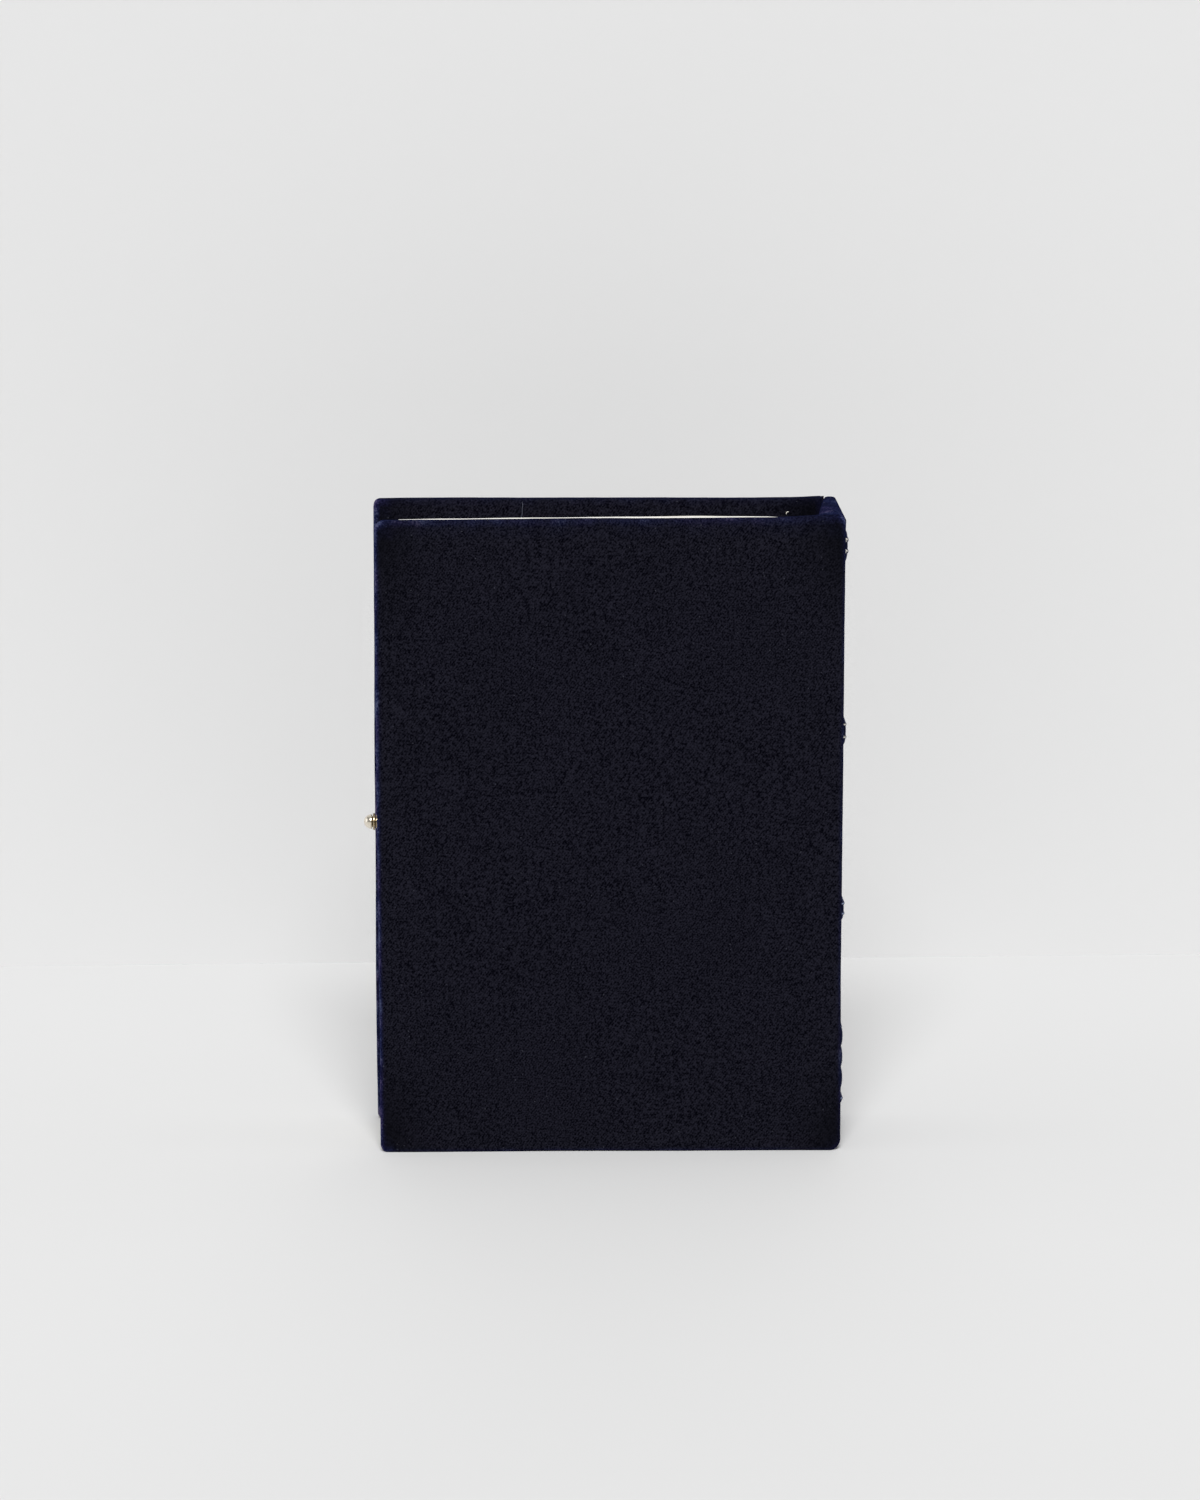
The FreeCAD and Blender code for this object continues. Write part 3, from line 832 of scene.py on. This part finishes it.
# Cotton on the tray walls
lining = {
    "inset": 0.5 * mm,
    "cornerRadius": 0.8 * mm,
    "cornerSteps": 3,
    "clothThick": 0.4 * mm,
    "firstRow": 2 * mm,
    "gridStep": 5 * mm,
    "waver": 0.12 * mm,
    "waverSize": 14 * mm,
}


def wallLining(name, node, body, seed):
    low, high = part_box(node)
    inset = Vector((lining["inset"], 0, lining["inset"]))
    bm = shapeFromBox(low + inset, high - inset)
    openEnds(bm)
    roundEdges(bm, edgesAlong(bm, yAxis), lining["cornerRadius"], lining["cornerSteps"])
    first = lining["firstRow"]
    for axis in (xAxis, yAxis, zAxis):
        sliceAcross(bm, axis, evenPlaces(low[axis] + first, high[axis] - first, lining["gridStep"]))
    bmesh.ops.reverse_faces(bm, faces=bm.faces)
    waver(bm, lining["waver"], lining["waverSize"], seed)
    piece = makePiece(name, bm, [cotton], body)
    giveThickness(piece, lining["clothThick"])
    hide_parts(node)


wallLining("backWallLining", "back_wall_lining", "back_half", 3.3)
wallLining("frontWallLining", "front_wall_lining", "front_half", 5.9)

# Loose threads caught on the velvet, on the inner side of the front cover
looseThreads = {
    "lineX": -25.6 * mm,
    "lineTop": 0.6 * mm,  # below the head
    "lineLength": 5.2 * mm,
    "lineSteps": 12,
    "sway": [(0.16 * mm, 5), (0.1 * mm, 11)],  # width and radians along the line
    "curlX": 58.9 * mm,
    "curlDrop": 4.5 * mm,
    "curlRadius": 0.55 * mm,
    "curlLift": 0.15 * mm,
    "curlStart": 70,  # degrees
    "curlTurn": 130,
    "curlSteps": 10,
    "curlThick": 1.5,  # over the line's thread
    "threadRadius": 0.09 * mm,
    "roundness": 2,
    "lift": 0.1 * mm,
}


def looseThreadPiece():
    low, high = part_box("front_cover_velvet")
    y = low.y - looseThreads["lift"]
    top = high.z - looseThreads["lineTop"]
    line = []
    for i in range(looseThreads["lineSteps"] + 1):
        share = i / looseThreads["lineSteps"]
        sway = sum(width * math.sin(turn * share) for width, turn in looseThreads["sway"])
        line.append((looseThreads["lineX"] + sway, y, top - looseThreads["lineLength"] * share))
    curl = []
    centreZ = high.z - looseThreads["curlDrop"]
    radius = looseThreads["curlRadius"]
    for i in range(looseThreads["curlSteps"] + 1):
        share = i / looseThreads["curlSteps"]
        angle = math.radians(looseThreads["curlStart"] + looseThreads["curlTurn"] * share)
        x = looseThreads["curlX"] + radius * math.cos(angle)
        curl.append((x, y - looseThreads["curlLift"], centreZ + radius * math.sin(angle)))
    thread, roundness = looseThreads["threadRadius"], looseThreads["roundness"]
    bm = bmesh.new()
    addMesh(bm, tubesAlong([line], thread, roundness), 0)
    addMesh(bm, tubesAlong([curl], looseThreads["curlThick"] * thread, roundness), 1)
    makePiece("looseThreads", bm, [greyThread, ivoryThread], "front_half")


looseThreadPiece()

# Padded cards on the tray floors
pad = {
    "edgeRadius": 0.9 * mm,
    "edgeSteps": 5,
    "cornerRadius": 1.5 * mm,
    "cornerSteps": 4,
    "firstRow": 2.6 * mm,
    "gridStep": 3.5 * mm,
    "edgeThickShare": 0.5,  # thickness at the edge over that in the middle
    "pullIn": 0.35 * mm,
    "waver": 0.1 * mm,
    "waverSize": 16 * mm,
}


def floorPad(name, node, side, body, seed):
    low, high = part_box(node)
    bm = shapeFromBox(low, high)
    roundEdges(bm, edgesAlong(bm, yAxis), pad["cornerRadius"], pad["cornerSteps"])
    top = low.y if side > 0 else high.y
    bottom = high.y if side > 0 else low.y
    roundEdges(bm, edgesOnPlane(bm, yAxis, top), pad["edgeRadius"], pad["edgeSteps"])
    first = pad["firstRow"]
    for axis in (xAxis, zAxis):
        sliceAcross(bm, axis, evenPlaces(low[axis] + first, high[axis] - first, pad["gridStep"]))
    middle, half = (low + high) / 2, (high - low) / 2
    waver(bm, pad["waver"], pad["waverSize"], seed)
    for v in bm.verts:
        u, w = (v.co.x - middle.x) / half.x, (v.co.z - middle.z) / half.z
        crown = max(0.0, (1 - u ** 4) * (1 - w ** 4)) ** 0.5
        share = pad["edgeThickShare"] + (1 - pad["edgeThickShare"]) * crown
        v.co.y = bottom + (v.co.y - bottom) * share
        v.co.x -= u * pad["pullIn"] * (1 - w * w)
        v.co.z -= w * pad["pullIn"] * (1 - u * u)
    piece = makePiece(name, bm, [cotton], body)
    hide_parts(node)


floorPad("backFloorPad", "back_floor_pad", -1, "back_half", 6.4)
floorPad("frontFloorPad", "front_floor_pad", 1, "front_half", 8.8)
print("trays lined")

# Satin-stitched bands on the spine, with couched cords
band = {
    "threadRadius": 0.23 * mm,
    "threadStep": 0.42 * mm,
    "endMargin": 0.3 * mm,
    "liftSpread": 0.06 * mm,
    "leanSpread": 0.12 * mm,
    "seed": 40,
    "rowHeight": 7.5 * mm,  # taller bands are stitched in rows
    "sink": 0.25 * mm,  # thread ends under the velvet
    "stitchSteps": 10,
    "fullness": 0.6,  # of a padded row: 1 is an ellipse, 0 a block
    "cordPitch": 1.7 * mm,
    "cordSteps": 8,
    # shares of the cord's radius: a strand's place and radius, and the cord's depth and height
    "strandPlace": 0.5,
    "strandRadius": 0.56,
    "cordSink": 0.95,  # into the stitches
    "edgeLift": 0.5,  # at the edge of a band
    "edgeShare": 0.1,  # of the band's height, counted as its edge
    "tieRadius": 0.13 * mm,
    "tieSteps": 8,
    "tieTurn": 234,  # degrees round the cord
}
bandCords = {
    # height of each cord as a share of the band, its radius and its thread
    1: [(0.5, 0.45 * mm, blueThread)],
    2: [(0.02, 0.40 * mm, blueThread), (0.98, 0.40 * mm, blueThread)],
    3: [(0.27, 0.36 * mm, blueThread), (0.73, 0.36 * mm, blueThread)],
    4: [(0.27, 0.36 * mm, ivoryThread), (0.75, 0.36 * mm, ivoryThread)],
    5: [(0.30, 0.70 * mm, ivoryThread), (0.67, 0.70 * mm, ivoryThread)],
}


def crownAt(share):
    # height of a padded row, by share of the way from its bottom to its top
    return (2 * math.sqrt(share * (1 - share))) ** band["fullness"]


def satinRow(low, high, bottom, top, rise, draw):
    # stitches side by side, each over the padding from the bottom of the row to its top
    sink = band["sink"]
    profile = []
    for i in range(band["stitchSteps"] + 1):
        share = (1 - math.cos(math.pi * i / band["stitchSteps"])) / 2
        profile.append((bottom + share * (top - bottom), (rise + sink) * crownAt(share) - sink))
    paths = []
    margin = band["endMargin"]
    for y in evenPlaces(low.y + margin, high.y - margin, band["threadStep"]):
        outX = spineOutside(y) + draw.uniform(-band["liftSpread"], band["liftSpread"])
        lean = draw.uniform(-band["leanSpread"], band["leanSpread"]) / (top - bottom)
        paths.append([(outX + x, y + lean * (z - bottom), z) for z, x in profile])
    return tubesAlong(paths, band["threadRadius"], roundness=1)


def twistedCord(low, high, z, lift, radius):
    # two strands round each other
    turns = (high.y - low.y) / band["cordPitch"]
    count = round(turns * band["cordSteps"])
    away = band["strandPlace"] * radius
    strands = []
    for start in (0, math.pi):
        strand = []
        for i in range(count + 1):
            y = low.y + (high.y - low.y) * i / count
            angle = start + 2 * math.pi * turns * i / count
            x = spineOutside(y) + lift + away * math.cos(angle)
            strand.append((x, y, z + away * math.sin(angle)))
        strands.append(strand)
    return tubesAlong(strands, band["strandRadius"] * radius, roundness=2)


def cordTies(low, high, z, lift, radius):
    # small stitches over a cord, one to each twist
    reach = (band["strandPlace"] + band["strandRadius"]) * radius + band["tieRadius"]
    ties = []
    for i in range(int((high.y - low.y) / band["cordPitch"])):
        y = low.y + (i + 0.5) * band["cordPitch"]
        tie = []
        for j in range(band["tieSteps"] + 1):
            angle = math.radians(band["tieTurn"]) * (j / band["tieSteps"] - 0.5)
            x = spineOutside(y) + lift + reach * math.cos(angle)
            tie.append((x, y, z + reach * math.sin(angle)))
        ties.append(tie)
    return tubesAlong(ties, band["tieRadius"], roundness=1)


def spineBand(number):
    node = "spine_band_" + str(number)
    low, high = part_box(node)
    rise = high.x - spineOutside(low.y)
    cords = bandCords[number]
    threads = [navyThread] + sorted({c[2] for c in cords}, key=lambda m: m.name)
    draw = random.Random(band["seed"] + number)
    bm = bmesh.new()
    topOfThread = rise - band["threadRadius"]
    rows = max(1, round((high.z - low.z) / band["rowHeight"]))
    edges = evenPlaces(low.z, high.z, (high.z - low.z) / rows)
    for bottom, top in zip(edges, edges[1:]):
        addMesh(bm, satinRow(low, high, bottom, top, topOfThread, draw), 0)
    for share, radius, thread in cords:
        z = low.z + share * (high.z - low.z)
        lift = band["edgeLift"] * radius
        if band["edgeShare"] < share < 1 - band["edgeShare"]:
            lift = rise * crownAt(share) - band["cordSink"] * radius
        addMesh(bm, twistedCord(low, high, z, lift, radius), threads.index(thread))
        addMesh(bm, cordTies(low, high, z, lift, radius), 0)
    piece = makePiece("spineBand" + str(number), bm, threads, "back_half")
    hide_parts(node)


for number in bandCords:
    spineBand(number)
print("spine stitched")

# Turned brass of the clasp
knob = {
    "footRadius": 1.5 * mm,
    "footHeight": 0.6 * mm,
    "footChamfer": 0.1 * mm,
    "footRound": 0.2 * mm,
    "footSteps": 3,
    "shankRadius": 0.9 * mm,
    "ringHeight": 0.8 * mm,
    "ringRound": 0.25 * mm,
    "ringInset": 0.3 * mm,  # of its radius, from the flange's
    "grooveRadius": 1.6 * mm,
    "grooveHeight": 0.25 * mm,
    "flangeHeight": 0.65 * mm,
    "flangeRound": 0.2 * mm,
    "flangeExtra": 0.3 * mm,
    "neckRadius": 1.7 * mm,
    "neckHeight": 0.3 * mm,
    "skirtRound": 0.25 * mm,
    "arcSteps": 6,
    "domeSteps": 18,
    "turnSteps": 64,
}


def arc(centre, radius, start, end, steps):
    # points of (distance out, radius), with angles from the stem's axis
    points = []
    for i in range(steps + 1):
        angle = math.radians(start + (end - start) * i / steps)
        points.append((centre[0] + radius * math.cos(angle), centre[1] + radius * math.sin(angle)))
    return points


def roundedDisc(foot, top, radius, bend):
    # edge of a disc from its foot to its top
    edge = arc((foot + bend, radius - bend), bend, 180, 90, knob["arcSteps"])
    return edge + arc((top - bend, radius - bend), bend, 90, 0, knob["arcSteps"])


def turnedPiece(name, profile, baseX, z, node, metal):
    line = [(baseX - out, radius, z) for out, radius in profile]
    bm = spunShape(line, (0, 0, z), (1, 0, 0), knob["turnSteps"])
    piece = makePiece(name, bm, [metal], "clasp")
    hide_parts(node)


def claspKnob():
    ballLow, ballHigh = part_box("clasp_ball")
    stemLow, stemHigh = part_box("clasp_stem")
    z = (ballLow.z + ballHigh.z) / 2
    ballRadius = (ballHigh.z - ballLow.z) / 2
    baseX = stemHigh.x
    ballFlat = baseX - ballHigh.x
    ballCentre = baseX - ballLow.x - ballRadius
    flangeRadius = (stemHigh.z - stemLow.z) / 2 + knob["flangeExtra"]
    ringRadius = (stemHigh.z - stemLow.z) / 2 - knob["ringInset"]
    flangeTop = ballFlat - knob["neckHeight"]
    flangeFoot = flangeTop - knob["flangeHeight"]
    ringTop = flangeFoot - knob["grooveHeight"]
    ringFoot = ringTop - knob["ringHeight"]
    footRadius, chamfer, bend = knob["footRadius"], knob["footChamfer"], knob["footRound"]
    stem = [(0, 0), (0, footRadius - chamfer), (chamfer, footRadius)]
    stem += arc((knob["footHeight"] - bend, footRadius - bend), bend, 90, 0, knob["footSteps"])
    stem += [(knob["footHeight"], knob["shankRadius"]), (ringFoot, knob["shankRadius"])]
    stem += roundedDisc(ringFoot, ringTop, ringRadius, knob["ringRound"])
    stem += [(ringTop, knob["grooveRadius"]), (flangeFoot, knob["grooveRadius"])]
    stem += roundedDisc(flangeFoot, flangeTop, flangeRadius, knob["flangeRound"])
    stem += [(flangeTop, knob["neckRadius"]), (ballFlat, knob["neckRadius"]), (ballFlat, 0)]
    # the stem's darker brass is painted shade, the reflection of the dark velvet
    turnedPiece("claspStem", stem, baseX, z, "clasp_stem", duskyBrass)
    skirt = knob["skirtRound"]
    wide = math.degrees(math.acos((ballFlat + skirt - ballCentre) / (ballRadius - skirt)))
    turnX = ballFlat + skirt
    turnRadius = (ballRadius - skirt) * math.sin(math.radians(wide))
    ball = [(ballFlat, 0)] + arc((turnX, turnRadius), skirt, 180, wide, knob["arcSteps"])
    ball += arc((ballCentre, 0), ballRadius, wide, 0, knob["domeSteps"])
    # the ball's paler brass is a painted reflection of the pale surroundings
    turnedPiece("claspBall", ball, baseX, z, "clasp_ball", paleBrass)


claspKnob()

# Leaf spring: its foot stays on the plate, and its leaf slants away from the bend
leaf = {"thick": 0.25 * mm, "footLength": 1.6 * mm, "gridStep": 0.3 * mm}


def claspSpring():
    low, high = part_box("clasp_spring")
    thick = leaf["thick"]
    bendY = low.y + leaf["footLength"]
    plan = [(high.x, low.y), (high.x, bendY), (low.x + thick, high.y), (low.x, high.y),
            (high.x - thick, bendY), (high.x - thick, low.y)]
    bm = prismFromPlan(plan, low.z, high.z)
    sliceAcross(bm, yAxis, evenPlaces(bendY, high.y, leaf["gridStep"])[:-1])
    piece = makePiece("claspSpring", bm, [steel], None)
    for polygon in piece.data.polygons:
        polygon.use_smooth = False
    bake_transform(piece)
    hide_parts("clasp_spring")


claspSpring()

# Brass rims: an angle frame on each tray, with softened edges
rim = {
    "faceThick": 1.0 * mm,
    "flangeThick": 0.8 * mm,
    "cornerRadius": 1.2 * mm,
    "cornerSteps": 4,
    "softening": 0.18 * mm,
    "softenSteps": 2,
    "firstRow": 1 * mm,  # from the rounded corner
    "gridStep": 4 * mm,
}


def drawIn(verts, low, high, inset, y):
    # rectangle drawn in from the rim's outline
    middle = (low + high) / 2
    for v in verts:
        v.co.x = low.x + inset if v.co.x < middle.x else high.x - inset
        v.co.y = y
        v.co.z = low.z + inset if v.co.z < middle.z else high.z - inset


def brassRim(name, node, padNode, clothNode, side, body):
    low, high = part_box(node)
    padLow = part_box(padNode)[0]
    faceY = low.y if side > 0 else high.y
    endY = high.y if side > 0 else low.y
    underY = faceY + side * rim["faceThick"]
    outer = padLow.x - cover["windowMargin"] - low.x
    inner = outer + rim["flangeThick"]
    centre, halfWide = (low + high) / 2, (high.x - low.x - outer) / 2
    section = [(0, faceY), (0, underY), (outer, underY), (outer, endY), (inner, endY), (inner, faceY)]
    # one loop of edges, grown round the section and closed on itself
    bm = shapeFromBox(low, high)
    bmesh.ops.delete(bm, geom=[v for v in bm.verts if abs(v.co.y - endY) < samePlace], context="VERTS")
    bmesh.ops.delete(bm, geom=bm.faces[:], context="FACES_ONLY")
    loop = bm.edges[:]
    for inset, y in section[1:] + section[:1]:
        grown = bmesh.ops.extrude_edge_only(bm, edges=loop)["geom"]
        loop = [g for g in grown if isinstance(g, bmesh.types.BMEdge)]
        drawIn([g for g in grown if isinstance(g, bmesh.types.BMVert)], low, high, inset, y)
    bmesh.ops.remove_doubles(bm, verts=bm.verts, dist=mergeReach)
    bmesh.ops.recalc_face_normals(bm, faces=bm.faces)
    corners = [e for e in edgesAlong(bm, yAxis) if abs(e.verts[0].co.x - centre.x) > halfWide]
    roundEdges(bm, corners, rim["cornerRadius"], rim["cornerSteps"])
    # the head follows the uneven line of the pages
    bend = rim["cornerRadius"] + rim["firstRow"]
    sliceAcross(bm, xAxis, evenPlaces(low.x + bend, high.x - bend, rim["gridStep"]))
    clothLow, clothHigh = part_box(clothNode)
    for v in bm.verts:
        if v.co.z > (low.z + high.z) / 2:
            v.co.z += headDrop(v.co.x, clothLow, clothHigh)
    piece = makePiece(name, bm, [brass], body)
    soften = piece.modifiers.new("soften", "BEVEL")
    soften.width = rim["softening"]
    soften.segments = rim["softenSteps"]
    soften.limit_method = "ANGLE"
    soften.harden_normals = True
    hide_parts(node)


brassRim("backRim", "back_rim", "back_floor_pad", "back_page_cloth", -1, "back_half")
brassRim("frontRim", "front_rim", "front_floor_pad", "front_page_cloth", 1, "front_half")
print("brass made")

# Stage, light and camera
stageSet = {
    "floorColour": (0.665, 0.665, 0.665, 1),
    "wallColour": (0.69, 0.69, 0.69, 1),
    "wallDistance": 208 * mm,
    "wallTurn": 1.35,  # degrees
    "reach": 20.0,
    "wallHeight": 0.42,
    "worldStrength": 0.27,
    "mottle": 1.015,  # of the paint, light over dark
    "mottleSize": 0.4,
}
studioLights = {
    # strength, degrees across as seen from the box, degrees round from the front, degrees high
    "keyLight": (2.95, 24, -1, 50),
    "backLight": (0.3, 70, 180, 68),
    "rearFill": (0.8, 50, 180, 10),
    "leftFill": (0.6, 50, -90, 12),
    "rightFill": (0.7, 50, 90, 12),
}


def stagePaint(name, colour, oneSided):
    material, tree, shader = newMaterial(name)
    light = [c * stageSet["mottle"] for c in colour[:3]] + [1]
    tone = ramp(tree, grain(tree, stageSet["mottleSize"]), (colour, light))
    tree.links.new(tone, shader.inputs["Base Color"])
    setShader(shader, Roughness=0.9, Specular_IOR_Level=0.1)
    if oneSided:
        # seen through from behind, so that other views aren't blocked
        clear = addNode(tree, "ShaderNodeBsdfTransparent")
        side = addNode(tree, "ShaderNodeNewGeometry")
        mix = addNode(tree, "ShaderNodeMixShader")
        tree.links.new(side.outputs["Backfacing"], mix.inputs[0])
        tree.links.new(shader.outputs[0], mix.inputs[1])
        tree.links.new(clear.outputs[0], mix.inputs[2])
        tree.links.new(mix.outputs[0], tree.nodes["Material Output"].inputs["Surface"])
    return material


def stagePlane(name, corners, material):
    bm = bmesh.new()
    bm.faces.new([bm.verts.new(c) for c in corners])
    mesh = bpy.data.meshes.new(name)
    bm.to_mesh(mesh)
    bm.free()
    plane = bpy.data.objects.new(name, mesh)
    scene.collection.objects.link(plane)
    mesh.materials.append(material)
    return plane


def buildStage():
    reach = stageSet["reach"]
    slope = math.tan(math.radians(stageSet["wallTurn"]))
    leftY = stageSet["wallDistance"] - slope * reach
    rightY = stageSet["wallDistance"] + slope * reach
    floor = [(-reach, -reach, 0), (reach, -reach, 0), (reach, reach, 0), (-reach, reach, 0)]
    stagePlane("floor", floor, stagePaint("floorPaint", stageSet["floorColour"], False))
    top = stageSet["wallHeight"]
    wall = [(-reach, leftY, 0), (reach, rightY, 0), (reach, rightY, top), (-reach, leftY, top)]
    backdrop = stagePlane("backdrop", wall, stagePaint("wallPaint", stageSet["wallColour"], True))
    backdrop.visible_diffuse = False  # its glow would brighten the floor beside it
    backdrop.visible_shadow = False  # the lights behind it shine through


def lightScene():
    world = bpy.data.worlds.new("studio")
    world.use_nodes = True
    background = world.node_tree.nodes["Background"]
    background.inputs["Color"].default_value = white
    background.inputs["Strength"].default_value = stageSet["worldStrength"]
    scene.world = world
    for name, (strength, spread, azimuth, height) in studioLights.items():
        light = bpy.data.lights.new(name, "SUN")
        light.energy = strength
        light.angle = math.radians(spread)
        lamp = bpy.data.objects.new(name, light)
        scene.collection.objects.link(lamp)
        lamp.rotation_euler = (math.radians(90 - height), 0, math.radians(azimuth))


shot = {
    "lens": 130.9,
    "place": (-24.6 * mm, -1687.4 * mm, 527.1 * mm),
    "tilt": 13.332,  # degrees down
    "turn": -0.799,
    "sensor": 36,
    "clip": (0.05, 50),
}


def placeCamera():
    lens = bpy.data.cameras.new("camera")
    lens.lens = shot["lens"]
    lens.sensor_width = shot["sensor"]
    lens.clip_start, lens.clip_end = shot["clip"]
    camera = bpy.data.objects.new("camera", lens)
    scene.collection.objects.link(camera)
    camera.location = shot["place"]
    camera.rotation_euler = (math.radians(90 - shot["tilt"]), 0, math.radians(shot["turn"]))
    scene.camera = camera


buildStage()
lightScene()
placeCamera()
scene.view_settings.view_transform = "Standard"
print("stage, light and camera set")
